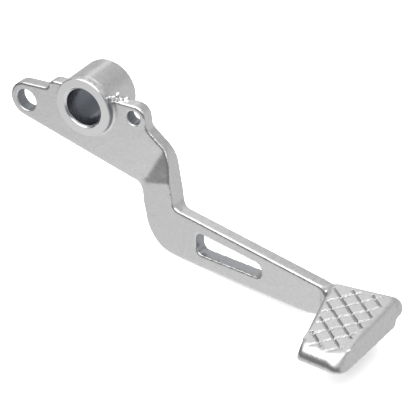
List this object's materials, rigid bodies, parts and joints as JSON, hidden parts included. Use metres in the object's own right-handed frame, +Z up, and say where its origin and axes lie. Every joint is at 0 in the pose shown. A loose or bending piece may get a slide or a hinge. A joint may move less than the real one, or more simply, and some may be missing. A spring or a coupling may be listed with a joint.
{
  "type": "rear brake pedal",
  "caption": "Cranked cast lever with a short pivot barrel, a lug for the brake rod, a lobe for the return spring, a slotted arm and a cross-grooved foot pad.",
  "frame": {"origin": "on the pivot bore's axis, in the plane of the plate's outer face", "axes": "+X forward along the lever towards the foot pad, +Y inboard along the pivot axis, +Z up"},
  "size_m": [0.1959, 0.0807, 0.0745],
  "materials": {
    "cast_aluminium": "satin, blasted casting with a machined boss face"
  },
  "bodies": {
    "root": {"brake_pedal": "cast_aluminium"}
  },
  "joints": []
}
